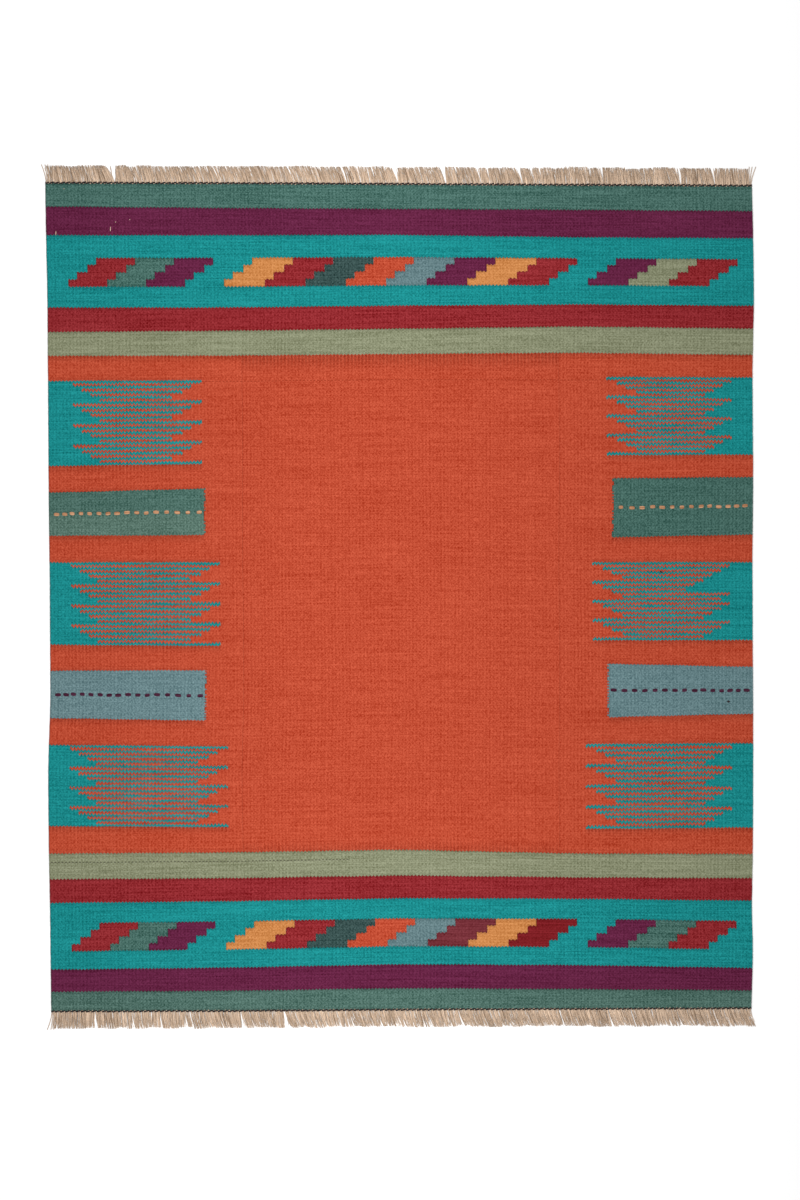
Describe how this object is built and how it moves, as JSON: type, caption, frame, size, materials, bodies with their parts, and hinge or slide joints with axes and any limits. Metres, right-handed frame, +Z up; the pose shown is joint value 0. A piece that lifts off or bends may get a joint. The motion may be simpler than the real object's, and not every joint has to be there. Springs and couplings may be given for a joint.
{
  "type": "area rug",
  "caption": "Flat-woven wool kilim rug with coloured end bands, stepped blocks, toothed comb motifs and tabs along both sides, twined end cords and short warp fringes.",
  "frame": {"origin": "on the floor at the middle of the rug, fringes included", "axes": "+Y along the warps towards the head end, +X across the rug to the right of a person who stands at the foot, +Z up from the floor"},
  "size_m": [1.7, 2.0814, 0.0038],
  "materials": {
    "green_wool": "matte",
    "purple_wool": "matte",
    "turquoise_wool": "matte",
    "red_wool": "matte",
    "sage_wool": "matte",
    "orange_wool": "matte",
    "gold_wool": "matte",
    "dark_green_wool": "matte",
    "slate_wool": "matte",
    "maroon_wool": "matte",
    "dark_red_wool": "matte",
    "undyed_warp": "matte",
    "black_cord": "matte",
    "peach_stitch": "matte",
    "purple_stitch": "matte"
  },
  "bodies": {
    "root": {"warp_yarns": "undyed_warp", "left_selvedge_yarns": "undyed_warp", "right_selvedge_yarns": "undyed_warp", "head_twining": "black_cord", "foot_twining": "black_cord", "head_green_band": "green_wool", "head_purple_band": "purple_wool", "head_turquoise_band": "turquoise_wool", "head_red_band": "red_wool", "head_sage_band": "sage_wool", "foot_green_band": "green_wool", "foot_purple_band": "purple_wool", "foot_turquoise_band": "turquoise_wool", "foot_red_band": "red_wool", "foot_sage_band": "sage_wool", "orange_field": "orange_wool", "left_comb_1": "turquoise_wool", "left_comb_2": "turquoise_wool", "left_comb_3": "turquoise_wool", "right_comb_1": "turquoise_wool", "right_comb_2": "turquoise_wool", "right_comb_3": "turquoise_wool", "left_green_tab": "green_wool", "left_slate_tab": "slate_wool", "left_green_tab_stitches": "peach_stitch", "left_slate_tab_stitches": "purple_stitch", "right_green_tab": "green_wool", "right_slate_tab": "slate_wool", "right_green_tab_stitches": "peach_stitch", "right_slate_tab_stitches": "purple_stitch", "head_block_left_red": "red_wool", "head_block_left_green": "green_wool", "head_block_left_purple": "purple_wool", "head_block_middle_gold_1": "gold_wool", "head_block_middle_red_1": "red_wool", "head_block_middle_dark_green": "dark_green_wool", "head_block_middle_orange": "orange_wool", "head_block_middle_slate": "slate_wool", "head_block_middle_purple": "purple_wool", "head_block_middle_gold_2": "gold_wool", "head_block_middle_red_2": "red_wool", "head_block_right_purple": "purple_wool", "head_block_right_sage": "sage_wool", "head_block_right_red": "red_wool", "foot_block_left_red": "red_wool", "foot_block_left_green": "green_wool", "foot_block_left_purple": "purple_wool", "foot_block_middle_gold_1": "gold_wool", "foot_block_middle_red": "red_wool", "foot_block_middle_dark_green": "dark_green_wool", "foot_block_middle_orange": "orange_wool", "foot_block_middle_slate": "slate_wool", "foot_block_middle_maroon": "maroon_wool", "foot_block_middle_gold_2": "gold_wool", "foot_block_middle_dark_red": "dark_red_wool", "foot_block_right_purple": "purple_wool", "foot_block_right_green": "green_wool", "foot_block_right_red": "red_wool"}
  },
  "joints": []
}
